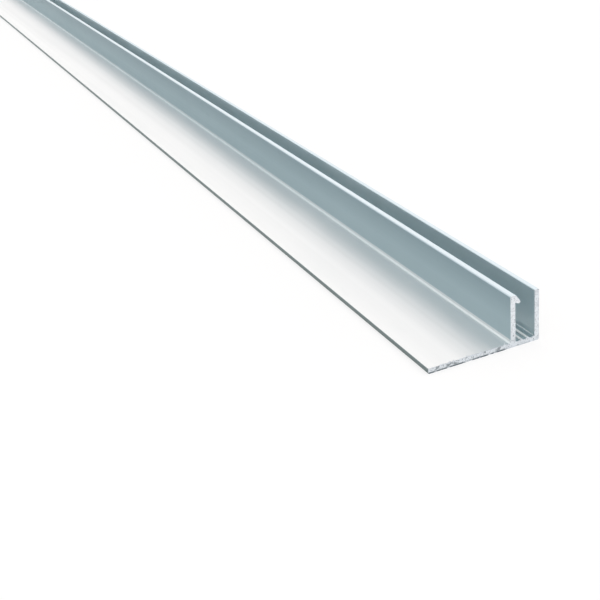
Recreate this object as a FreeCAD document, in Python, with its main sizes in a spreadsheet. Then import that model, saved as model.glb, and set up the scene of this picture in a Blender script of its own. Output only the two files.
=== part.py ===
"""Aluminium hung-liner profile: one extruded bar that is fixed flat on the rim of a swimming pool.

The section, seen from the front end of the bar, left to right:

    anchoring flange | hooked inner wall | liner slot with two floor ribs | outer wall

The flange lies under the coping. The welded bead of the pool liner is pushed into the slot from above and
hangs from the hooked nose of the inner wall. The whole bar is one piece, so it is one body and one solid.

Frame, in millimetres: X across the section (flange edge at -X, outer wall at +X), Y along the bar,
Z up, origin at the bottom centre of the bar.
"""

import FreeCAD, Part
import math
import os

import Sketcher

FRONT_PLANE = "XZ_Plane"
NODE = "liner_profile"

# Driving dimensions, in millimetres (counts are plain numbers).
DIMENSIONS = [
    ("stock_length", 2000.0, "length of one bar as sold"),
    ("overall_width", 45.0, "flange edge to the outside of the outer wall"),
    ("base_thickness", 1.9, "flange and slot floor"),
    ("inner_wall_height", 20.0, "underside to the top of the hooked wall"),
    ("inner_wall_thickness", 1.9, "hooked wall"),
    ("outer_wall_height", 20.0, "underside to the top of the outer wall"),
    ("outer_wall_thickness", 1.9, "outer wall"),
    ("slot_width", 7.9, "clear width between the two walls"),
    ("hook_flat", 0.35, "flat top of the hook, past the slot face of its wall"),
    ("hook_reach", 2.05, "how far the nose stands out into the slot"),
    ("hook_drop", 3.4, "top of the wall to the lowest point of the nose"),
    ("hook_notch_depth", 2.65, "top of the wall to where the hook's underside meets it"),
    ("hook_nose_radius", 0.65, "round end of the nose"),
    ("hook_crest_radius", 0.8, "round where the flat top turns down"),
    ("rib_count", 2, "ribs on the slot floor"),
    ("rib_inset", 2.45, "slot face of the hooked wall to the first rib's middle"),
    ("rib_pitch", 2.6, "middle to middle"),
    ("rib_width", 1.2, "at the floor"),
    ("rib_height", 0.6, "above the floor"),
    ("seat_fillet", 1.2, "between the flange and the hooked wall"),
    ("slot_fillet", 0.5, "between the slot floor and each wall"),
    ("heel_radius", 0.8, "outside bottom corner, under the outer wall"),
    ("edge_radius", 0.35, "free edges of the flange and the walls"),
]


def make_sheet(doc):
    """The spreadsheet that holds every driving dimension."""
    sheet = doc.addObject("Spreadsheet::Sheet", "dims")
    for row, (alias, value, note) in enumerate(DIMENSIONS, start=1):
        sheet.set(f"A{row}", alias)
        sheet.set(f"B{row}", str(value))
        sheet.set(f"C{row}", note)
        sheet.setAlias(f"B{row}", alias)
    doc.recompute()
    return sheet


def front_sketch(body, name):
    """A new sketch on the body's front plane: sketch X is across the bar, and sketch Y is up."""
    plane = next(f for f in body.Origin.OriginFeatures if f.Role == FRONT_PLANE)
    sketch = body.newObject("Sketcher::SketchObject", name)
    sketch.AttachmentSupport = [(plane, "")]
    sketch.MapMode = "FlatFace"
    return sketch


def bind(sketch, name, constraint, expression):
    """Adds a dimension and ties it to the spreadsheet."""
    index = sketch.addConstraint(constraint)
    sketch.renameConstraint(index, name)
    sketch.setExpression(f"Constraints.{name}", expression)


def place_point(sketch, label, geometry, end, corner):
    """Fixes one vertex by its signed distances from the origin, each tied to the spreadsheet."""
    for axis, kind, size in zip("xz", ("DistanceX", "DistanceY"), corner):
        bind(
            sketch,
            f"{label}_{axis}",
            Sketcher.Constraint(kind, -1, 1, geometry, end, size.value),
            size.expression,
        )


def vector(x, z):
    """A point of a sketch on the front plane."""
    return FreeCAD.Vector(x, z, 0)


def add_rectangle(sketch, low, high):
    """A rectangle between two opposite corners."""
    (x0, z0), (x1, z1) = [(x.value, z.value) for x, z in (low, high)]
    points = [vector(x0, z0), vector(x1, z0), vector(x1, z1), vector(x0, z1)]
    sides = [
        sketch.addGeometry(Part.LineSegment(points[i], points[(i + 1) % 4]), False)
        for i in range(4)
    ]
    for i in range(4):
        sketch.addConstraint(
            Sketcher.Constraint("Coincident", sides[i], 2, sides[(i + 1) % 4], 1)
        )
    for i, direction in enumerate(["Horizontal", "Vertical"] * 2):
        sketch.addConstraint(Sketcher.Constraint(direction, sides[i]))
    place_point(sketch, "low", sides[0], 1, low)
    place_point(sketch, "high", sides[2], 1, high)


def pad_along_bar(body, sketch, name):
    """Extrudes a section to the full length of the bar, evenly to both sides of the front plane."""
    pad = body.newObject("PartDesign::Pad", name)
    pad.Profile = sketch
    pad.Type = "Length"
    pad.SideType = "Symmetric"
    pad.setExpression("Length", "dims.stock_length")
    sketch.Visibility = False
    return pad


class Size:
    """A length in millimetres together with the spreadsheet expression that drives it."""

    def __init__(self, value, expression):
        self.value = value
        self.expression = expression

    def __add__(self, other):
        return Size(self.value + other.value, f"{self.expression} + {other.expression}")

    def __sub__(self, other):
        return Size(self.value - other.value, f"{self.expression} - ({other.expression})")

    def __neg__(self):
        return Size(-self.value, f"-({self.expression})")

    def half(self):
        return Size(self.value / 2, f"({self.expression}) / 2")


class Section:
    """Where the section's own lines lie, each one driven by the spreadsheet."""

    def __init__(self, sheet):
        self.sheet = sheet
        dim = self.dim
        back_face = dim("overall_width").half()
        outer_face = back_face - dim("outer_wall_thickness")
        slot_face = outer_face - dim("slot_width")
        hook_top = dim("inner_wall_height")
        floor = dim("base_thickness")
        self.x = {
            "flange_edge": -back_face,
            "seat_face": slot_face - dim("inner_wall_thickness"),
            "slot_face": slot_face,
            "hook_flat_end": slot_face + dim("hook_flat"),
            "nose_centre": slot_face + dim("hook_reach") - dim("hook_nose_radius"),
            "first_rib": slot_face + dim("rib_inset"),
            "outer_face": outer_face,
            "back_face": back_face,
        }
        self.z = {
            "underside": Size(0.0, "0 mm"),
            "rib_root": floor.half(),
            "floor": floor,
            "rib_crown": floor + dim("rib_height"),
            "hook_top": hook_top,
            "hook_notch": hook_top - dim("hook_notch_depth"),
            "nose_centre": hook_top - dim("hook_drop") + dim("hook_nose_radius"),
            "outer_top": dim("outer_wall_height"),
        }

    def dim(self, alias):
        """One driving dimension of the spreadsheet."""
        return Size(float(self.sheet.get(alias)), f"dims.{alias}")

    def corner(self, x_name, z_name):
        """One corner of the section, as a pair of sizes."""
        return self.x[x_name], self.z[z_name]

    def point(self, x_name, z_name):
        """One corner of the section, as a pair of plain numbers."""
        return self.x[x_name].value, self.z[z_name].value


def rectangular_pad(body, name, low, high):
    """A flat member of the section: its sketch and its pad."""
    sketch = front_sketch(body, f"{name}_section")
    add_rectangle(sketch, low, high)
    return pad_along_bar(body, sketch, name)


def join_ends(sketch, joints):
    """Makes pairs of curve ends coincide. Each joint is (curve, end, curve, end)."""
    for first, first_end, second, second_end in joints:
        sketch.addConstraint(
            Sketcher.Constraint("Coincident", first, first_end, second, second_end)
        )


def hooked_wall(body, section):
    """The inner wall with its hook: flat top, slope, round nose and an undercut that holds the bead."""
    sketch = front_sketch(body, "hooked_wall_section")
    radius = section.dim("hook_nose_radius")
    centre_x, centre_z = section.point("nose_centre", "nose_centre")
    heel = vector(*section.point("seat_face", "underside"))
    shoulder = vector(*section.point("seat_face", "hook_top"))
    crest = vector(*section.point("hook_flat_end", "hook_top"))
    nose_out = vector(centre_x + radius.value, centre_z)
    nose_under = vector(centre_x, centre_z - radius.value)
    notch = vector(*section.point("slot_face", "hook_notch"))
    foot = vector(*section.point("slot_face", "underside"))

    def line(start, end):
        return sketch.addGeometry(Part.LineSegment(start, end), False)

    seat_side = line(heel, shoulder)
    top = line(shoulder, crest)
    slope = line(crest, nose_out)
    circle = Part.Circle(vector(centre_x, centre_z), FreeCAD.Vector(0, 0, 1), radius.value)
    nose = sketch.addGeometry(Part.ArcOfCircle(circle, -math.pi / 2, 0.0), False)
    underside = line(nose_under, notch)
    slot_side = line(notch, foot)
    base = line(foot, heel)

    join_ends(
        sketch,
        [
            (seat_side, 2, top, 1),
            (top, 2, slope, 1),
            (underside, 2, slot_side, 1),
            (slot_side, 2, base, 1),
            (base, 2, seat_side, 1),
        ],
    )
    # The arc runs anticlockwise, so its end point meets the slope and its start point the underside.
    sketch.addConstraint(Sketcher.Constraint("Tangent", slope, 2, nose, 2))
    sketch.addConstraint(Sketcher.Constraint("Tangent", nose, 1, underside, 1))
    for vertical in (seat_side, slot_side):
        sketch.addConstraint(Sketcher.Constraint("Vertical", vertical))
    for horizontal in (top, base):
        sketch.addConstraint(Sketcher.Constraint("Horizontal", horizontal))
    bind(
        sketch,
        "nose_radius",
        Sketcher.Constraint("Radius", nose, radius.value),
        radius.expression,
    )
    centre_point = 3
    place_point(sketch, "nose", nose, centre_point, section.corner("nose_centre", "nose_centre"))
    place_point(sketch, "notch", slot_side, 1, section.corner("slot_face", "hook_notch"))
    place_point(sketch, "crest", top, 2, section.corner("hook_flat_end", "hook_top"))
    place_point(sketch, "foot", seat_side, 1, section.corner("seat_face", "underside"))
    return pad_along_bar(body, sketch, "hooked_wall")


def floor_ribs(body, section):
    """Low ribs with a round back, side by side on the slot floor."""
    sketch = front_sketch(body, "rib_section")
    half_width = section.dim("rib_width").half()
    middle, floor = section.corner("first_rib", "floor")
    left, right = (middle - half_width, floor), (middle + half_width, floor)
    crown = section.corner("first_rib", "rib_crown")
    root = (middle - half_width, section.z["rib_root"])
    left_foot = vector(left[0].value, floor.value)
    right_foot = vector(right[0].value, floor.value)
    left_root = vector(left[0].value, root[1].value)
    right_root = vector(right[0].value, root[1].value)
    crown_point = vector(crown[0].value, crown[1].value)

    back = sketch.addGeometry(Part.ArcOfCircle(right_foot, crown_point, left_foot), False)
    left_side = sketch.addGeometry(Part.LineSegment(left_foot, left_root), False)
    bottom = sketch.addGeometry(Part.LineSegment(left_root, right_root), False)
    right_side = sketch.addGeometry(Part.LineSegment(right_root, right_foot), False)
    top_mark = sketch.addGeometry(Part.Point(crown_point), True)
    join_ends(
        sketch,
        [
            (back, 2, left_side, 1),
            (left_side, 2, bottom, 1),
            (bottom, 2, right_side, 1),
            (right_side, 2, back, 1),
        ],
    )
    sketch.addConstraint(Sketcher.Constraint("PointOnObject", top_mark, 1, back))
    sketch.addConstraint(Sketcher.Constraint("Horizontal", bottom))
    sketch.addConstraint(Sketcher.Constraint("Vertical", right_side))
    place_point(sketch, "left", left_side, 1, left)
    place_point(sketch, "right", right_side, 2, right)
    place_point(sketch, "crown", top_mark, 1, crown)
    place_point(sketch, "root", bottom, 1, root)
    rib = pad_along_bar(body, sketch, "floor_rib")
    body.Document.recompute()

    ribs = body.newObject("PartDesign::LinearPattern", "floor_ribs")
    ribs.Originals = [rib]
    ribs.Direction = (sketch, ["H_Axis"])
    ribs.Mode = "Extent"
    ribs.setExpression("Occurrences", "dims.rib_count")
    ribs.setExpression("Length", "dims.rib_pitch * (dims.rib_count - 1)")
    body.Tip = ribs
    return ribs


def edges_at(shape, places, tolerance=1e-3):
    """Names of the long edges that run along the bar through each (x, z) place."""
    names = []
    for x, z in places:
        found = [
            f"Edge{number}"
            for number, edge in enumerate(shape.Edges, start=1)
            if all(abs(v.X - x) < tolerance and abs(v.Z - z) < tolerance for v in edge.Vertexes)
        ]
        if len(found) != 1:
            raise RuntimeError(f"{len(found)} long edges at x {x:.3f}, z {z:.3f}")
        names += found
    return names


def round_edges(body, name, places, radius_expression):
    """Rounds the long edges at these places, all with one radius from the spreadsheet."""
    body.Document.recompute()
    base = body.Tip
    fillet = body.newObject("PartDesign::Fillet", name)
    fillet.Base = (base, edges_at(base.Shape, places))
    fillet.setExpression("Radius", radius_expression)
    body.Tip = fillet
    return fillet


def make_profile(doc, sheet):
    """The whole bar: base plate, two walls, hook and ribs, then its rounds."""
    section = Section(sheet)
    body = doc.addObject("PartDesign::Body", NODE)
    body.Label = NODE

    rectangular_pad(
        body,
        "base_plate",
        section.corner("flange_edge", "underside"),
        section.corner("back_face", "floor"),
    )
    rectangular_pad(
        body,
        "outer_wall",
        section.corner("outer_face", "underside"),
        section.corner("back_face", "outer_top"),
    )
    hooked_wall(body, section)
    floor_ribs(body, section)

    point = section.point
    round_edges(body, "seat_round", [point("seat_face", "floor")], "dims.seat_fillet")
    round_edges(
        body,
        "slot_rounds",
        [point("slot_face", "floor"), point("outer_face", "floor")],
        "dims.slot_fillet",
    )
    round_edges(body, "heel_round", [point("back_face", "underside")], "dims.heel_radius")
    round_edges(
        body, "crest_round", [point("hook_flat_end", "hook_top")], "dims.hook_crest_radius"
    )
    round_edges(
        body,
        "free_edge_rounds",
        [
            point("flange_edge", "underside"),
            point("flange_edge", "floor"),
            point("seat_face", "hook_top"),
            point("outer_face", "outer_top"),
            point("back_face", "outer_top"),
        ],
        "dims.edge_radius",
    )
    doc.recompute()
    return body


def check(doc, body):
    """Stops before anything is written if a feature failed or the bar isn't one valid solid."""
    failed = [o.Name for o in doc.Objects if {"Invalid", "Error"} & set(o.State)]
    if failed:
        raise RuntimeError(f"failed features: {failed}")
    loose = [
        o.Name for o in doc.Objects if o.isDerivedFrom("Sketcher::SketchObject") and o.solve() != 0
    ]
    if loose:
        raise RuntimeError(f"sketches that don't solve: {loose}")
    shape = body.Shape
    if shape.isNull() or not shape.isValid() or len(shape.Solids) != 1:
        raise RuntimeError(f"{body.Label} isn't one valid solid")


def main():
    doc = FreeCAD.newDocument("liner_profile")
    sheet = make_sheet(doc)
    body = make_profile(doc, sheet)
    check(doc, body)
    os.makedirs("parts", exist_ok=True)
    body.Shape.exportStep(f"parts/{body.Label}.step")
    box = body.Shape.BoundBox
    print(
        f"{body.Label}: {box.XLength:.2f} x {box.YLength:.2f} x {box.ZLength:.2f} mm, "
        f"{body.Shape.Volume / 1000:.2f} cm3, {len(body.Shape.Faces)} faces"
    )


main()
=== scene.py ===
"""Aluminium pool liner profile on a pale studio floor, built as a small set of operators."""

import math

import bpy
import numpy as np
from mathutils import Matrix, Vector, noise
from mathutils.geometry import delaunay_2d_cdt


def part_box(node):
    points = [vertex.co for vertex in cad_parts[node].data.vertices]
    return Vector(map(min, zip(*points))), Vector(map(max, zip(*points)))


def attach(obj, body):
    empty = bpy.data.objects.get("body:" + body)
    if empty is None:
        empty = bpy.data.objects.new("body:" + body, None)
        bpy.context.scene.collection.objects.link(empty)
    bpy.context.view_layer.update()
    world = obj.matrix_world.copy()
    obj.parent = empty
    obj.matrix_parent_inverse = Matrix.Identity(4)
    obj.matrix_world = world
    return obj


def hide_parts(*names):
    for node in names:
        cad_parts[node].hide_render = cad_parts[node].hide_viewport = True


bl_info = {
    "name": "Pool liner profile",
    "version": (1, 0, 0),
    "blender": (4, 5, 0),
    "location": "3D View > Sidebar > Liner Profile",
    "description": "Builds an extruded aluminium liner profile with sawn ends, and its studio",
    "category": "Object",
}

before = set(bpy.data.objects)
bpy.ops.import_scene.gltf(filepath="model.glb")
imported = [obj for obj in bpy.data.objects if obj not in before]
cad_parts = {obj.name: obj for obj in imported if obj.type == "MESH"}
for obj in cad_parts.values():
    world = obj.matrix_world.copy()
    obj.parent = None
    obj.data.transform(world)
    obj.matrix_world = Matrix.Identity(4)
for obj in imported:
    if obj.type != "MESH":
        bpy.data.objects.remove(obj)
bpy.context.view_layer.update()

NODE = "liner_profile"
BAR_LOW, BAR_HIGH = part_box(NODE)
MM = 0.001
SEED = 41
RIB_HIGHLIGHT_TOP = 2.58 * MM  # height of the painted highlight zone on the slot floor
FLANGE_BURR_END = 9.6 * MM  # across the section, where the burr on the flange stops
RIB_FOOT_ROUND = 0.08 * MM
NOTCH_ROUND = 0.12 * MM
RIB_CROWN_SHARE = 0.98  # how much of a rib's half width its crown's rounds take up
ARC_STEP = math.radians(11)
SHARP_EDGE = math.radians(32)
BLADE_CENTRE = (-0.11, -0.16)  # across and up, where the saw blade's arcs are centred
TOOTH_PITCH = 0.00082
FLOOR_GLOW_SHARE = 0.62  # how much of the floor is glow, to the rays that see it directly
FLOOR_GLOW = 1.1
STAGE_REACH = 12.0
CAMERA_PLACE = (-0.18045, -1.28568, 0.18974)
CAMERA_FORWARD = (0.33265, 0.83646, -0.43551)
CAMERA_UP = (0.25317, 0.36565, 0.89566)


# ---------------------------------------------------------------- properties


def length(name, description, millimetres):
    """A length that a user may change, shown in the scene's units."""
    return bpy.props.FloatProperty(
        name=name,
        description=description,
        default=millimetres * MM,
        min=0.0,
        unit="LENGTH",
        subtype="DISTANCE",
        precision=5,
    )


def factor(name, description, default):
    """A plain amount from 0 to 1."""
    return bpy.props.FloatProperty(
        name=name, description=description, default=default, min=0.0, max=1.0, subtype="FACTOR"
    )


def colour(name, description, default):
    """A linear colour."""
    return bpy.props.FloatVectorProperty(
        name=name, description=description, default=default, min=0.0, max=2.0, size=3, subtype="COLOR"
    )


class LinerSectionSizes(bpy.types.PropertyGroup):
    """The extruded section. Its outside width, height and length come from the frame."""

    base: length("Base", "Thickness of the flange and of the slot floor", 1.9)
    inner_wall: length("Inner wall", "Thickness of the hooked wall", 1.9)
    outer_wall: length("Outer wall", "Thickness of the outer wall", 1.9)
    slot_width: length("Slot", "Clear width between the two walls", 7.9)
    hook_flat: length("Hook flat", "Flat top of the hook past its wall", 0.35)
    hook_reach: length("Hook reach", "How far the nose stands out into the slot", 2.05)
    hook_drop: length("Hook drop", "Top of the wall to the bottom of the nose", 3.4)
    hook_notch: length("Hook notch", "Top of the wall to the root of the hook's underside", 2.65)
    nose_radius: length("Nose radius", "Round end of the nose", 0.65)
    crest_radius: length("Crest radius", "Round where the hook's top turns down", 0.8)
    rib_inset: length("Rib inset", "Hooked wall to the first rib's middle", 2.45)
    rib_pitch: length("Rib pitch", "Middle to middle of the floor ribs", 2.6)
    rib_width: length("Rib width", "Width of a floor rib", 1.2)
    rib_height: length("Rib height", "Height of a floor rib", 0.6)
    seat_fillet: length("Seat fillet", "Between the flange and the hooked wall", 1.2)
    slot_fillet: length("Slot fillet", "Between the slot floor and its walls", 0.5)
    heel_radius: length("Heel radius", "Outside bottom corner of the outer wall", 0.8)
    edge_radius: length("Edge radius", "Free edges of the flange and the walls", 0.35)


class LinerCutSizes(bpy.types.PropertyGroup):
    """How the saw left the two ends."""

    mesh_step: length("Mesh step", "Longest step round the section", 0.42)
    grain: length("Saw grain", "Spacing of the grains on a sawn face", 0.24)
    face_inset: length("Face inset", "How far the sawn face lies behind the tips of its burr", 0.60)
    rim: length("Rim", "Width of the raised rim round a sawn face", 0.14)
    score: length("Score depth", "Depth of the marks that the saw's teeth left", 0.07)
    burr: length("Burr", "How far the burr stands out past the face", 0.55)
    curl: length("Curl", "How far the burr curls up over the flange", 1.10)


class LinerFinish(bpy.types.PropertyGroup):
    """Colours and wear of the aluminium, and light and shade painted into its tone.

    The sheen gains, the wall's shades and the slot's light are painted light and shade, set for
    studio_world's gradient, and so are the slot floor's shade, the rib and fillet highlights, the
    lips' reflection and the flange edge's shade. They aren't real differences in the metal, and look
    wrong under plain light.
    """

    alloy: colour("Alloy", "Clean extruded aluminium", (0.745, 0.785, 0.795))
    oxide: colour("Oxide", "Dull film in streaks along the bar", (0.71, 0.75, 0.76))
    # Painted sheen: the flange's top is made brighter than the metal is, more so next to the wall.
    flange_painted_sheen: colour(
        "Flange gain", "How much brighter the flange's top is at its free edge", (1.24, 1.21, 1.20)
    )
    root_painted_sheen: colour("Root gain", "How much brighter it is next to the wall", (1.32, 1.26, 1.25))
    # Painted shade: the seat's wall is given a dark reflection tone, darker still near its top.
    wall_painted_shade: colour("Dull alloy", "Darker tone of the seat's wall", (0.415, 0.525, 0.56))
    wall_top_painted_shade: colour("Dull alloy, top", "The same near the top of the wall", (0.295, 0.39, 0.43))
    # Painted light: the inside of the slot is made brighter than the rest of the bar.
    slot_painted_light: colour("Bright alloy", "Brighter tone inside the slot", (0.875, 0.945, 0.965))
    # Painted shade on the slot floor between the ribs.
    slot_floor_painted_shade: colour("Slot floor", "Grime between the ribs on the slot floor", (0.40, 0.49, 0.52))
    # Painted highlight on the ribs and the rounds at the slot's bottom corners.
    rib_painted_highlight: colour("Shine", "Rubbed ribs and corners on the slot floor", (0.97, 0.98, 0.98))
    # Painted highlight along the seat's fillet, and below, how far up the fillet it reaches.
    fillet_painted_highlight: colour("Burnished", "Fillet that the die left brighter", (0.955, 0.995, 1.0))
    highlight_rise: length("Burnish rise", "How far the burnish climbs the fillet", 0.5)
    # Painted reflection along the top edges of the two walls.
    lip: colour("Lips", "Top edges of the two walls", (0.67, 0.775, 0.825))
    # Painted shade: a dark reflection on the flange's narrow outer edge.
    edge_painted_shade: colour("Dark edge", "Film on the flange's narrow edge", (0.24, 0.295, 0.295))
    cut: colour("Cut alloy", "Freshly sawn aluminium", (0.895, 0.95, 0.995))
    # Dark tone on a sawn face: its specks, smears and a broken line along the bottom edge.
    sawn_dark_tone: colour("Pits", "Pits and smears on a sawn face", (0.13, 0.165, 0.185))
    roughness: factor("Roughness", "Roughness of the extruded faces", 0.36)
    flange_satin: factor("Flange satin", "How much rougher the flange's top is", 0.10)
    die_lines: factor("Die lines", "Depth of the fine lines that the die left", 0.05)
    scratches: factor("Scratches", "How many handling marks show", 0.45)


class LinerStageLook(bpy.types.PropertyGroup):
    """Floor, light and camera."""

    floor: colour("Floor", "Pale studio floor", (0.86, 0.86, 0.86))
    sky_bright: colour("Bright side", "Studio wall on the right, as the metal sees it", (1.26, 1.20, 1.18))
    sky_dim: colour("Dim side", "Studio wall on the left, as the metal sees it", (0.34, 0.44, 0.47))
    slot_bounces: bpy.props.IntProperty(
        name="Reflections",
        description="How often light is followed from face to face inside the slot",
        default=12,
        min=4,
    )
    focal_length: bpy.props.FloatProperty(
        name="Focal length",
        description="Focal length of the lens, in millimetres",
        default=66.0,
        min=10.0,
        subtype="DISTANCE_CAMERA",
    )


# ---------------------------------------------------------------- the section's outline


def rounded_outline(corners, step):
    """Points round a polygon, each corner given as (x, z, radius), with straight runs cut into steps."""
    count = len(corners)
    points = []
    for i, (x, z, radius) in enumerate(corners):
        here = Vector((x, z))
        to_last = (Vector(corners[i - 1][:2]) - here).normalized()
        to_next = (Vector(corners[(i + 1) % count][:2]) - here).normalized()
        if radius <= 0:
            points.append(here)
            continue
        turn = math.pi - to_last.angle(to_next)
        reach = radius * math.tan(turn / 2)
        start, end = here + to_last * reach, here + to_next * reach
        centre = here + (to_last + to_next).normalized() * (radius / math.cos(turn / 2))
        pieces = max(3, math.ceil(turn / ARC_STEP))
        arm, last_arm = start - centre, end - centre
        swing = arm.angle_signed(last_arm)
        for k in range(pieces + 1):
            angle = -swing * k / pieces
            turned = Matrix.Rotation(angle, 2) @ arm
            points.append(centre + turned)
    outline = []
    for i, point in enumerate(points):
        following = points[(i + 1) % len(points)]
        run = (following - point).length
        if run < 1e-7:
            continue
        cuts = max(1, math.ceil(run / step))
        outline += [point.lerp(following, k / cuts) for k in range(cuts)]
    return outline


def tangent_corner(crest, notch, nose, radius):
    """Where the hook's slope and its underside would meet if the nose weren't round."""
    to_crest = crest - nose
    swing = math.acos(radius / to_crest.length)
    out = Matrix.Rotation(-swing, 2) @ to_crest.normalized() * radius
    to_notch = notch - nose
    swing = math.acos(radius / to_notch.length)
    under = Matrix.Rotation(swing, 2) @ to_notch.normalized() * radius
    a, b = nose + out, nose + under
    run_a, run_b = a - crest, b - notch
    cross = run_a.x * run_b.y - run_a.y * run_b.x
    gap = notch - crest
    along = (gap.x * run_b.y - gap.y * run_b.x) / cross
    return crest + run_a * along


def section_outline(sizes, step):
    """The profile's outline in metres, anticlockwise as seen from the front end."""
    left, right = BAR_LOW.x, BAR_HIGH.x
    top = BAR_HIGH.z
    outer = right - sizes.outer_wall
    slot = outer - sizes.slot_width
    seat = slot - sizes.inner_wall
    floor = sizes.base
    edge = sizes.edge_radius
    crest = Vector((slot + sizes.hook_flat, top))
    notch = Vector((slot, top - sizes.hook_notch))
    nose = Vector(
        (slot + sizes.hook_reach - sizes.nose_radius, top - sizes.hook_drop + sizes.nose_radius)
    )
    tip = tangent_corner(crest, notch, nose, sizes.nose_radius)
    ribs = []
    for middle in (slot + sizes.rib_inset + sizes.rib_pitch, slot + sizes.rib_inset):
        half = sizes.rib_width / 2
        crown = floor + sizes.rib_height
        ribs += [
            (middle + half, floor, RIB_FOOT_ROUND),
            (middle + half, crown, half * RIB_CROWN_SHARE),
            (middle - half, crown, half * RIB_CROWN_SHARE),
            (middle - half, floor, RIB_FOOT_ROUND),
        ]
    corners = [
        (left, 0.0, edge),
        (right, 0.0, sizes.heel_radius),
        (right, top, edge),
        (outer, top, edge),
        (outer, floor, sizes.slot_fillet),
        *ribs,
        (slot, floor, sizes.slot_fillet),
        (notch.x, notch.y, NOTCH_ROUND),
        (tip.x, tip.y, sizes.nose_radius),
        (crest.x, crest.y, sizes.crest_radius),
        (seat, top, edge),
        (seat, floor, sizes.seat_fillet),
        (left, floor, edge),
    ]
    return rounded_outline(corners, step)


def inward_normals(outline):
    """Unit vectors that point from each outline point into the metal."""
    around = np.array([p[:] for p in outline])
    run = np.roll(around, -1, axis=0) - np.roll(around, 1, axis=0)
    run /= np.linalg.norm(run, axis=1)[:, None]
    return np.stack([-run[:, 1], run[:, 0]], axis=1)


# ---------------------------------------------------------------- the bar's mesh


def ring_depths(bar_length):
    """Distances of the mesh's rings from one sawn face, close together near the face."""
    near = [0.00012, 0.0003, 0.0007, 0.0015, 0.003, 0.006, 0.012, 0.025]
    far = np.linspace(0.05, bar_length / 2, 14)
    return near + list(far)


def inside(points, ring, clearance):
    """Which points lie inside a closed ring and clear of it."""
    a, b = ring, np.roll(ring, -1, axis=0)
    x, z = points[:, :1], points[:, 1:]
    crosses = (a[:, 1] > z) != (b[:, 1] > z)
    rise = np.where(np.abs(b[:, 1] - a[:, 1]) < 1e-12, 1e-12, b[:, 1] - a[:, 1])
    at = a[:, 0] + (z - a[:, 1]) * (b[:, 0] - a[:, 0]) / rise
    within = np.sum(crosses & (x < at), axis=1) % 2 == 1
    run = b - a
    along = ((x - a[:, 0]) * run[:, 0] + (z - a[:, 1]) * run[:, 1]) / np.sum(run**2, axis=1)
    along = np.clip(along, 0, 1)
    gap = np.hypot(x - a[:, 0] - along * run[:, 0], z - a[:, 1] - along * run[:, 1]).min(axis=1)
    return within & (gap > clearance)


def grains(ring, spacing, rng):
    """Scattered points that fill a sawn face."""
    low, high = ring.min(axis=0), ring.max(axis=0)
    xs = np.arange(low[0], high[0], spacing)
    zs = np.arange(low[1], high[1], spacing)
    grid = np.stack(np.meshgrid(xs, zs), axis=-1).reshape(-1, 2)
    grid = grid + rng.uniform(-0.38, 0.38, grid.shape) * spacing
    return grid[inside(grid, ring, spacing * 0.45)]


def saw_depth(x, z, score, rng):
    """How far a point of a sawn face lies below the highest marks, in metres."""
    sweep = math.hypot(x - BLADE_CENTRE[0], z - BLADE_CENTRE[1])
    wander = noise.noise(Vector((x, z, 0.3)) * 420.0)
    ridges = 0.5 + 0.5 * math.sin(sweep * 2 * math.pi / TOOTH_PITCH + 2.4 * wander)
    grain = rng.uniform(0.0, 1.0)
    return score * (0.55 * ridges + 0.75 * grain)


def burr_rag(around, side):
    """How ragged the burr is at one place round the section: 0 for none, about 1 at its peaks."""
    place = around + 0.7 * side
    coarse = 0.5 + noise.noise(Vector((place * 620.0, 2.7, 0.0)))
    fine = 0.5 + noise.noise(Vector((place * 2600.0, 8.1, 0.0)))
    return max(0.0, 0.9 * coarse * fine + 0.35 * fine - 0.1)


def sawn_end(outline, normals, cut, floor, side, rng, vertices, first_ring):
    """Adds one end's rim and face, and gives its faces. side is -1 for the front end, 1 for the back."""
    count = len(outline)
    face_y = side * (BAR_HIGH.y - cut.face_inset)
    rim_start = len(vertices)
    around = 0.0
    for i, point in enumerate(outline):
        around += (outline[i] - outline[i - 1]).length
        on_flange_top = abs(point.y - floor) < 0.25 * MM and point.x < FLANGE_BURR_END
        rag = burr_rag(around, side) * rng.uniform(0.6, 1.2)
        share = 1.0 if on_flange_top else 0.25
        height = min(cut.burr * share * rag, cut.face_inset * 0.98)
        lean = 0.03 * MM * rng.uniform(0.0, 1.0)
        x = point.x + normals[i][0] * lean
        z = point.y + normals[i][1] * lean
        if on_flange_top:
            z += cut.curl * rag
        vertices.append((x, face_y + side * height, z))
    inner = np.array([p[:] for p in outline]) + normals * cut.rim
    filling = grains(inner, cut.grain, rng)
    flat = [Vector(p) for p in inner] + [Vector(p) for p in filling]
    loop = [(i, (i + 1) % count) for i in range(count)]
    spots, _, triangles, origins, _, _ = delaunay_2d_cdt(flat, loop, [], 1, 1e-9)
    face_start = len(vertices)
    place = {}
    for i, spot in enumerate(spots):
        depth = saw_depth(spot.x, spot.y, cut.score, rng)
        vertices.append((spot.x, face_y - side * depth, spot.y))
        for origin in origins[i]:
            place[origin] = face_start + i
    faces = []
    for triangle in triangles:
        ids = [face_start + i for i in triangle]
        faces.append(ids if side < 0 else ids[::-1])
    for i in range(count):
        j = (i + 1) % count
        rim = [rim_start + i, rim_start + j, place[j], place[i]]
        wall = [first_ring + i, first_ring + j, rim_start + j, rim_start + i]
        faces.append(rim if side < 0 else rim[::-1])
        faces.append(wall if side < 0 else wall[::-1])
    return faces


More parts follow.
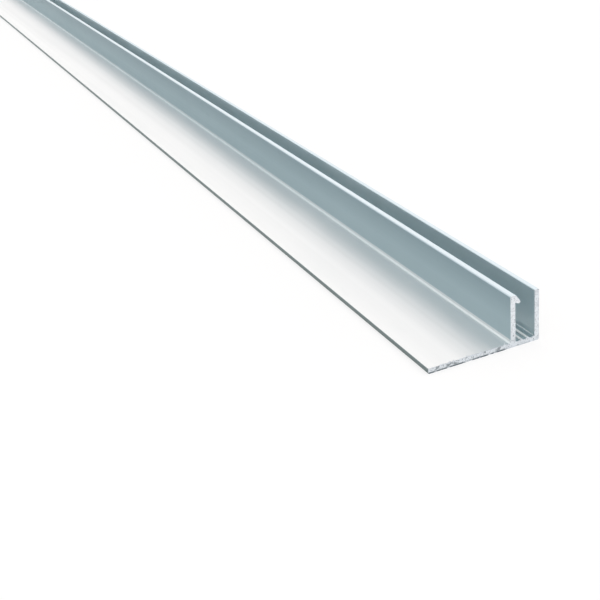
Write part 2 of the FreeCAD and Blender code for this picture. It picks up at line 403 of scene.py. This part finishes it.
def bar_mesh(sizes, cut):
    """The whole bar: long faces between two sawn ends. Gives the mesh."""
    rng = np.random.default_rng(SEED)
    outline = section_outline(sizes, cut.mesh_step)
    normals = inward_normals(outline)
    count = len(outline)
    half = BAR_HIGH.y - cut.face_inset
    depths = ring_depths(2 * half)
    rings = [-half + d for d in depths] + [half - d for d in reversed(depths[:-1])]
    vertices = [(p.x, y, p.y) for y in rings for p in outline]
    faces = []
    for r in range(len(rings) - 1):
        a, b = r * count, (r + 1) * count
        for i in range(count):
            j = (i + 1) % count
            faces.append([a + i, b + i, b + j, a + j])
    long_faces = len(faces)
    faces += sawn_end(outline, normals, cut, sizes.base, -1, rng, vertices, 0)
    last_ring = (len(rings) - 1) * count
    faces += sawn_end(outline, normals, cut, sizes.base, 1, rng, vertices, last_ring)
    mesh = bpy.data.meshes.new("extruded_bar")
    mesh.from_pydata(vertices, [], faces)
    smooth = np.arange(len(faces)) < long_faces
    mesh.polygons.foreach_set("use_smooth", smooth)
    mesh.polygons.foreach_set("material_index", np.where(smooth, 0, 1).astype(np.int32))
    mesh.set_sharp_from_angle(angle=SHARP_EDGE)
    if mesh.validate():
        raise RuntimeError("the bar's mesh had faults")
    return mesh


# ---------------------------------------------------------------- materials


class Nodes:
    """Short ways to place and link nodes in one tree."""

    def __init__(self, tree):
        self.tree = tree

    def add(self, kind, values=None, **settings):
        """A node, with settings as its attributes and values as its inputs: a number, a colour or a link."""
        node = self.tree.nodes.new(kind)
        for name, setting in settings.items():
            setattr(node, name, setting)
        for name, value in (values or {}).items():
            socket = node.inputs[name]
            if isinstance(value, bpy.types.NodeSocket):
                self.tree.links.new(value, socket)
            else:
                socket.default_value = value
        return node

    def math(self, operation, a, b=0.0, clamp=False):
        node = self.add("ShaderNodeMath", {0: a, 1: b}, operation=operation, use_clamp=clamp)
        return node.outputs[0]

    def remap(self, value, low, high, to_low=0.0, to_high=1.0, smooth=True):
        node = self.add(
            "ShaderNodeMapRange",
            {"Value": value, "From Min": low, "From Max": high, "To Min": to_low, "To Max": to_high},
            interpolation_type="SMOOTHSTEP" if smooth else "LINEAR",
        )
        return node.outputs["Result"]

    def mix(self, amount, a, b):
        node = self.add("ShaderNodeMix", data_type="RGBA")
        for index, value in ((0, amount), (6, a), (7, b)):
            if isinstance(value, bpy.types.NodeSocket):
                self.tree.links.new(value, node.inputs[index])
            else:
                node.inputs[index].default_value = value
        return node.outputs[2]

    def noise(self, vector, scale, detail=2.0, roughness=0.5):
        node = self.add(
            "ShaderNodeTexNoise",
            {"Vector": vector, "Scale": scale, "Detail": detail, "Roughness": roughness},
        )
        return node.outputs["Fac"]

    def stretch(self, vector, scale):
        node = self.add("ShaderNodeMapping", {"Vector": vector, "Scale": scale})
        return node.outputs["Vector"]


def new_group(name, inputs, outputs):
    """An empty shader node group. inputs are (name, kind, default); outputs are (name, kind)."""
    tree = bpy.data.node_groups.new(name, "ShaderNodeTree")
    for socket_name, kind, default in inputs:
        socket = tree.interface.new_socket(name=socket_name, in_out="INPUT", socket_type=kind)
        if default is not None:
            socket.default_value = default
    for socket_name, kind in outputs:
        tree.interface.new_socket(name=socket_name, in_out="OUTPUT", socket_type=kind)
    nodes = Nodes(tree)
    entry = nodes.add("NodeGroupInput")
    leave = nodes.add("NodeGroupOutput")
    return tree, nodes, entry.outputs, leave


def streaks_group():
    """Lines that the die drew along the bar, from broad bands to hairlines."""
    tree, nodes, given, leave = new_group(
        "Die Streaks",
        [("Vector", "NodeSocketVector", None), ("Fineness", "NodeSocketFloat", 1.0)],
        [("Height", "NodeSocketFloat"), ("Bands", "NodeSocketFloat")],
    )
    scaled = nodes.add("ShaderNodeVectorMath", {0: given["Vector"]}, operation="SCALE")
    tree.links.new(given["Fineness"], scaled.inputs["Scale"])
    vector = scaled.outputs["Vector"]
    hair = nodes.noise(nodes.stretch(vector, (3600.0, 9.0, 3600.0)), 1.0, 2.0, 0.6)
    fine = nodes.noise(nodes.stretch(vector, (1300.0, 2.2, 1300.0)), 1.0, 2.0, 0.5)
    broad = nodes.noise(nodes.stretch(vector, (260.0, 1.1, 260.0)), 1.0, 1.0, 0.5)
    height = nodes.math("ADD", nodes.math("MULTIPLY", hair, 0.2), nodes.math("MULTIPLY", fine, 0.8))
    tree.links.new(height, leave.inputs["Height"])
    tree.links.new(nodes.remap(broad, 0.36, 0.66), leave.inputs["Bands"])
    return tree


def handling_group():
    """Short scratches and rubbed patches from stacking and carrying."""
    tree, nodes, given, leave = new_group(
        "Handling Marks",
        [("Vector", "NodeSocketVector", None), ("Amount", "NodeSocketFloat", 0.5)],
        [("Scratch", "NodeSocketFloat"), ("Rub", "NodeSocketFloat")],
    )
    vector = given["Vector"]
    marks = []
    for stretch, turn, low in (
        ((520.0, 60.0, 520.0), 0.42, 0.035),
        ((430.0, 42.0, 430.0), -0.65, 0.03),
        ((900.0, 30.0, 900.0), 0.1, 0.03),
    ):
        turned = nodes.add(
            "ShaderNodeVectorRotate", {"Vector": vector, "Angle": turn}, rotation_type="Z_AXIS"
        ).outputs["Vector"]
        cells = nodes.add(
            "ShaderNodeTexVoronoi",
            {"Vector": nodes.stretch(turned, stretch), "Scale": 0.22, "Randomness": 1.0},
            feature="DISTANCE_TO_EDGE",
        )
        line = nodes.remap(cells.outputs["Distance"], 0.0, low, 1.0, 0.0)
        gate = nodes.remap(nodes.noise(turned, 95.0 + 40 * turn, 1.0), 0.56, 0.68)
        marks.append(nodes.math("MULTIPLY", line, gate))
    both = nodes.math("MAXIMUM", marks[0], marks[1])
    every = nodes.math("MAXIMUM", both, marks[2])
    tree.links.new(nodes.math("MULTIPLY", every, given["Amount"]), leave.inputs["Scratch"])
    rubbed = nodes.remap(nodes.noise(nodes.stretch(vector, (70.0, 16.0, 70.0)), 1.0, 3.0), 0.46, 0.72)
    tree.links.new(nodes.math("MULTIPLY", rubbed, given["Amount"]), leave.inputs["Rub"])
    return tree


def new_material(name):
    """A material whose tree holds only a Principled shader. Gives the material, its nodes and the shader."""
    material = bpy.data.materials.new(name)
    material.use_nodes = True
    shader = material.node_tree.nodes["Principled BSDF"]
    return material, Nodes(material.node_tree), shader


def opaque(rgb):
    return (*rgb, 1.0)


def within(nodes, parts, x_range, z_range):
    """1 where a point of the section lies in a box, 0 elsewhere."""
    mask = None
    for axis, (low, high) in (("X", x_range), ("Z", z_range)):
        above = nodes.math("GREATER_THAN", parts[axis], low)
        both = nodes.math("MULTIPLY", above, nodes.math("LESS_THAN", parts[axis], high))
        mask = both if mask is None else nodes.math("MULTIPLY", mask, both)
    return mask


def section_tone(nodes, place, tone, finish, sizes):
    """The alloy's tone, changed face by face with painted light, shade, highlights and reflections set for
    studio_world's gradient.
    """
    parts = nodes.add("ShaderNodeSeparateXYZ", {"Vector": place}).outputs
    slack = 0.1 * MM
    outer = BAR_HIGH.x - sizes.outer_wall
    slot = outer - sizes.slot_width
    seat = slot - sizes.inner_wall
    nose = slot + sizes.hook_reach + slack
    lip = BAR_HIGH.z - sizes.hook_drop + slack
    top = BAR_HIGH.z + slack
    floor = sizes.base - slack
    seat_top = sizes.base + sizes.seat_fillet
    # Where the slot's painted light goes: the slot between the walls and the space under the hook.
    wide = within(nodes, parts, (nose, outer + slack), (floor, top))
    under = within(nodes, parts, (slot - slack, outer), (floor, lip))
    in_slot = nodes.math("MAXIMUM", wide, under)
    rib_foot = sizes.base + slack
    # Where the painted highlight goes: the ribs and the rounds at the slot's bottom corners.
    slot_rounds = within(nodes, parts, (slot, outer), (rib_foot, RIB_HIGHLIGHT_TOP))
    # Where the slot floor's painted shade goes: the floor between the ribs.
    slot_floor_painted_shade = within(nodes, parts, (slot, outer), (floor, rib_foot))
    seat_wall = within(nodes, parts, (seat - slack, seat + slack), (seat_top, top - 2 * slack))
    flange_top = within(nodes, parts, (BAR_LOW.x, seat - sizes.seat_fillet), (floor, seat_top))
    # Painted shade on the seat's wall: a dark reflection tone, which darkens further over the wall's upper
    # part.
    wall_middle = seat_top + 0.4 * (BAR_HIGH.z - seat_top)
    up_wall = nodes.remap(parts["Z"], wall_middle, BAR_HIGH.z, smooth=False)
    wall_tone = nodes.mix(up_wall, opaque(finish.wall_painted_shade), opaque(finish.wall_top_painted_shade))
    # Where the fillet's painted highlight goes: the seat's fillet, up to a set rise above the flange.
    highlight_top = sizes.base + finish.highlight_rise
    fillet = within(nodes, parts, (seat - sizes.seat_fillet, seat + slack), (floor, highlight_top))
    # Where the painted reflection on the walls' top edges goes.
    lips = nodes.remap(parts["Z"], BAR_HIGH.z - 0.5 * MM, BAR_HIGH.z - 0.3 * MM)
    # Where the painted shade on the flange's narrow outer edge goes.
    edge = nodes.remap(parts["X"], BAR_LOW.x + 0.05 * MM, BAR_LOW.x + 0.3 * MM, 1.0, 0.0)
    # Painted sheen on the flange's top: its tone is multiplied by a gain that grows from the free edge to
    # the wall.
    painted_sheen_mix = nodes.add("ShaderNodeMix", data_type="RGBA", blend_type="MULTIPLY")
    painted_sheen_mix.inputs[0].default_value = 1.0
    nodes.tree.links.new(tone, painted_sheen_mix.inputs[6])
    across = nodes.remap(parts["X"], BAR_LOW.x, seat, smooth=False)
    gain = nodes.mix(across, opaque(finish.flange_painted_sheen), opaque(finish.root_painted_sheen))
    nodes.tree.links.new(gain, painted_sheen_mix.inputs[7])
    tone = nodes.mix(flange_top, tone, painted_sheen_mix.outputs[2])
    # The seat's wall takes its painted shade.
    tone = nodes.mix(seat_wall, tone, wall_tone)
    for mask, paint in (
        # Painted light inside the slot.
        (in_slot, finish.slot_painted_light),
        # Painted shade on the slot floor.
        (slot_floor_painted_shade, finish.slot_floor_painted_shade),
        # Painted highlight on the ribs and the slot's bottom corners.
        (slot_rounds, finish.rib_painted_highlight),
        # Painted highlight on the seat's fillet.
        (fillet, finish.fillet_painted_highlight),
        # Painted reflection on the walls' top edges.
        (lips, finish.lip),
        # Painted shade on the flange's narrow outer edge.
        (edge, finish.edge_painted_shade),
    ):
        tone = nodes.mix(mask, tone, opaque(paint))
    return tone, slot_rounds, flange_top


def extruded_aluminium(finish, sizes, streaks, handling):
    """Mill finish: satin, with lines along the bar, faint bands, handling marks, and light and shade painted
    face by face.
    """
    material, nodes, shader = new_material("extruded_aluminium")
    place = nodes.add("ShaderNodeTexCoord").outputs["Object"]
    lines = nodes.add("ShaderNodeGroup", node_tree=streaks)
    marks = nodes.add("ShaderNodeGroup", node_tree=handling)
    marks.inputs["Amount"].default_value = finish.scratches
    for group in (lines, marks):
        nodes.tree.links.new(place, group.inputs["Vector"])
    tone = nodes.mix(lines.outputs["Bands"], opaque(finish.alloy), opaque(finish.oxide))
    clouds = nodes.remap(nodes.noise(nodes.stretch(place, (38.0, 9.0, 38.0)), 1.0, 3.0), 0.3, 0.75)
    tone = nodes.mix(nodes.math("MULTIPLY", clouds, 0.35), tone, opaque(finish.oxide))
    tone, slot_rounds, flange_top = section_tone(nodes, place, tone, finish, sizes)
    shader.inputs["Metallic"].default_value = 1.0
    nodes.tree.links.new(tone, shader.inputs["Base Color"])
    rough = nodes.remap(lines.outputs["Height"], 0.3, 0.7, finish.roughness - 0.02, finish.roughness + 0.03)
    rough = nodes.math("ADD", rough, nodes.math("MULTIPLY", marks.outputs["Rub"], 0.10))
    rough = nodes.math("ADD", rough, nodes.math("MULTIPLY", marks.outputs["Scratch"], 0.12))
    smoother = nodes.math("SUBTRACT", 1.0, nodes.math("MULTIPLY", slot_rounds, 0.2))
    rough = nodes.math("MULTIPLY", rough, smoother)
    rough = nodes.math("ADD", rough, nodes.math("MULTIPLY", flange_top, finish.flange_satin))
    nodes.tree.links.new(rough, shader.inputs["Roughness"])
    line_bump = nodes.add(
        "ShaderNodeBump",
        {"Height": lines.outputs["Height"], "Strength": finish.die_lines, "Distance": 0.00002},
    )
    scratch_bump = nodes.add(
        "ShaderNodeBump",
        {
            "Height": marks.outputs["Scratch"],
            "Strength": 0.5,
            "Distance": 0.00004,
            "Normal": line_bump.outputs["Normal"],
        },
        invert=True,
    )
    nodes.tree.links.new(scratch_bump.outputs["Normal"], shader.inputs["Normal"])
    return material


def sawn_aluminium(finish, cut, handling):
    """Sawn ends: bright torn grain with dark pits and smears."""
    material, nodes, shader = new_material("sawn_aluminium")
    place = nodes.add("ShaderNodeTexCoord").outputs["Object"]
    marks = nodes.add("ShaderNodeGroup", node_tree=handling)
    marks.inputs["Amount"].default_value = 1.0
    nodes.tree.links.new(place, marks.inputs["Vector"])
    speck = nodes.remap(nodes.noise(place, 1650.0, 3.0, 0.75), 0.53, 0.63)
    smear = nodes.remap(nodes.noise(nodes.stretch(place, (420.0, 420.0, 500.0)), 1.0, 3.0), 0.57, 0.66)
    parts = nodes.add("ShaderNodeSeparateXYZ", {"Vector": place}).outputs
    height = parts["Z"]
    under_flange = nodes.remap(parts["X"], FLANGE_BURR_END - 2.0 * MM, FLANGE_BURR_END, 1.0, 0.3)
    broken = nodes.remap(nodes.noise(place, 620.0, 2.0), 0.36, 0.52, 0.25, 1.0)
    # Darker along the bottom edge of the sawn face, broken up by noise, and weaker past the flange.
    heel = nodes.math("MULTIPLY", nodes.remap(height, 0.25 * MM, 0.72 * MM, 1.0, 0.0), broken)
    heel = nodes.math("MULTIPLY", heel, under_flange)
    smears = nodes.math("MULTIPLY", nodes.math("MULTIPLY", smear, 0.65), under_flange)
    dark = nodes.math("MAXIMUM", nodes.math("MULTIPLY", speck, 0.6), smears)
    face = BAR_HIGH.y - cut.face_inset
    tips = nodes.remap(nodes.math("ABSOLUTE", parts["Y"]), face + 0.03 * MM, face + 0.16 * MM, 1.0, 0.0)
    dark = nodes.math("MULTIPLY", dark, tips)
    dark = nodes.math("MAXIMUM", dark, heel)
    tone = nodes.mix(dark, opaque(finish.cut), opaque(finish.sawn_dark_tone))
    nodes.tree.links.new(tone, shader.inputs["Base Color"])
    shader.inputs["Metallic"].default_value = 1.0
    rough = nodes.remap(nodes.noise(place, 1500.0, 2.0), 0.35, 0.7, 0.30, 0.52)
    rough = nodes.math("ADD", rough, nodes.math("MULTIPLY", marks.outputs["Scratch"], 0.1))
    nodes.tree.links.new(rough, shader.inputs["Roughness"])
    bump = nodes.add(
        "ShaderNodeBump",
        {"Height": nodes.noise(place, 5200.0, 3.0, 0.7), "Strength": 0.7, "Distance": 0.00005},
    )
    nodes.tree.links.new(bump.outputs["Normal"], shader.inputs["Normal"])
    return material


def floor_material(look):
    """A pale floor that glows to camera and transmission rays. Reflections see only its paint."""
    material = bpy.data.materials.new("studio_floor")
    material.use_nodes = True
    tree = material.node_tree
    tree.nodes.clear()
    nodes = Nodes(tree)
    seen = nodes.add("ShaderNodeLightPath").outputs
    direct = nodes.math("MAXIMUM", seen["Is Camera Ray"], seen["Is Transmission Ray"])
    lift = nodes.math("MULTIPLY", direct, FLOOR_GLOW_SHARE)
    paint = nodes.add("ShaderNodeBsdfDiffuse", {"Color": opaque(look.floor)})
    glow = nodes.add("ShaderNodeEmission", {"Color": opaque((1.0, 1.0, 1.0)), "Strength": FLOOR_GLOW})
    both = nodes.add("ShaderNodeMixShader", {0: lift, 1: paint.outputs[0], 2: glow.outputs[0]})
    output = nodes.add("ShaderNodeOutputMaterial")
    tree.links.new(both.outputs[0], output.inputs["Surface"])
    return material


def studio_world(look):
    """White to camera and transmission rays, and an uneven studio to all others.

    What lights the bar and what the metal reflects is brighter than white on the right, dimmer on
    the left, and dimmed again straight overhead.
    """
    world = bpy.data.worlds.new("studio")
    world.use_nodes = True
    tree = world.node_tree
    tree.nodes.clear()
    nodes = Nodes(tree)
    direction = nodes.add("ShaderNodeTexCoord").outputs["Generated"]
    parts = nodes.add("ShaderNodeSeparateXYZ", {"Vector": direction}).outputs
    right = nodes.remap(parts["X"], -0.28, 0.20)
    above = nodes.remap(parts["Z"], 0.46, 0.72)
    front = nodes.remap(parts["Y"], 0.15, -0.45)
    far_left = nodes.remap(parts["X"], -0.40, -0.56)
    lit = nodes.math("MAXIMUM", right, nodes.math("MULTIPLY", above, 0.9))
    lit = nodes.math("MAXIMUM", lit, nodes.math("MULTIPLY", far_left, 0.5))
    lit = nodes.math("MAXIMUM", lit, nodes.math("MULTIPLY", front, 0.64))
    zenith = nodes.remap(parts["Z"], 0.80, 0.97, 1.0, 0.45)
    lit = nodes.math("MULTIPLY", lit, zenith)
    wall = nodes.mix(lit, opaque(look.sky_dim), opaque(look.sky_bright))
    seen = nodes.add("ShaderNodeLightPath").outputs
    direct = nodes.math("MAXIMUM", seen["Is Camera Ray"], seen["Is Transmission Ray"])
    shown = nodes.mix(direct, wall, opaque((1.0, 1.0, 1.0)))
    background = nodes.add("ShaderNodeBackground", {"Color": shown, "Strength": 1.0})
    output = nodes.add("ShaderNodeOutputWorld")
    tree.links.new(background.outputs[0], output.inputs["Surface"])
    return world


# ---------------------------------------------------------------- operators


class LINER_OT_bar(bpy.types.Operator):
    """Build the extruded bar with its sawn ends and its finish"""

    bl_idname = "liner.bar"
    bl_label = "Liner bar"

    def execute(self, context):
        scene = context.scene
        mesh = bar_mesh(scene.liner_section, scene.liner_cut)
        bar = bpy.data.objects.new("extruded_bar", mesh)
        scene.collection.objects.link(bar)
        streaks = streaks_group()
        handling = handling_group()
        mesh.materials.append(extruded_aluminium(scene.liner_finish, scene.liner_section, streaks, handling))
        mesh.materials.append(sawn_aluminium(scene.liner_finish, scene.liner_cut, handling))
        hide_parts(NODE)
        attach(bar, "root")
        return {"FINISHED"}


class LINER_OT_stage(bpy.types.Operator):
    """Lay the studio floor, light it and place the camera"""

    bl_idname = "liner.stage"
    bl_label = "Studio"

    def execute(self, context):
        scene = context.scene
        look = scene.liner_stage
        scene.view_settings.view_transform = "Standard"
        scene.world = studio_world(look)
        scene.cycles.glossy_bounces = look.slot_bounces

        reach = STAGE_REACH
        mesh = bpy.data.meshes.new("studio_floor")
        corners = [(-reach, -reach, 0), (reach, -reach, 0), (reach, reach, 0), (-reach, reach, 0)]
        mesh.from_pydata(corners, [], [(0, 1, 2, 3)])
        floor = bpy.data.objects.new("studio_floor", mesh)
        floor.location.z = BAR_LOW.z
        scene.collection.objects.link(floor)
        mesh.materials.append(floor_material(look))

        lens = bpy.data.cameras.new("camera")
        lens.lens = look.focal_length
        lens.sensor_width = 36.0
        lens.clip_start, lens.clip_end = 0.02, 100.0
        camera = bpy.data.objects.new("camera", lens)
        camera.location = CAMERA_PLACE
        forward = Vector(CAMERA_FORWARD).normalized()
        upward = Vector(CAMERA_UP)
        across = forward.cross(upward).normalized()
        upward = across.cross(forward)
        turn = Matrix((across, upward, -forward)).transposed()
        camera.rotation_euler = turn.to_euler()
        scene.collection.objects.link(camera)
        scene.camera = camera
        return {"FINISHED"}


class LINER_PT_panel(bpy.types.Panel):
    """Sizes, finish and studio of the liner profile"""

    bl_idname = "LINER_PT_panel"
    bl_label = "Liner Profile"
    bl_space_type = "VIEW_3D"
    bl_region_type = "UI"
    bl_category = "Liner Profile"

    def draw(self, context):
        layout = self.layout
        for operator, groups in (
            (LINER_OT_bar, ("liner_section", "liner_cut", "liner_finish")),
            (LINER_OT_stage, ("liner_stage",)),
        ):
            layout.operator(operator.bl_idname)
            for group in groups:
                settings = getattr(context.scene, group)
                column = layout.column(align=True)
                for name in settings.__annotations__:
                    column.prop(settings, name)


SETTINGS = {
    "liner_section": LinerSectionSizes,
    "liner_cut": LinerCutSizes,
    "liner_finish": LinerFinish,
    "liner_stage": LinerStageLook,
}
CLASSES = (*SETTINGS.values(), LINER_OT_bar, LINER_OT_stage, LINER_PT_panel)


def register():
    for cls in CLASSES:
        bpy.utils.register_class(cls)
    for name, cls in SETTINGS.items():
        setattr(bpy.types.Scene, name, bpy.props.PointerProperty(type=cls))


def unregister():
    for name in SETTINGS:
        delattr(bpy.types.Scene, name)
    for cls in reversed(CLASSES):
        bpy.utils.unregister_class(cls)


def main():
    register()
    bpy.ops.liner.stage()
    bpy.ops.liner.bar()


if __name__ == "__main__":
    main()
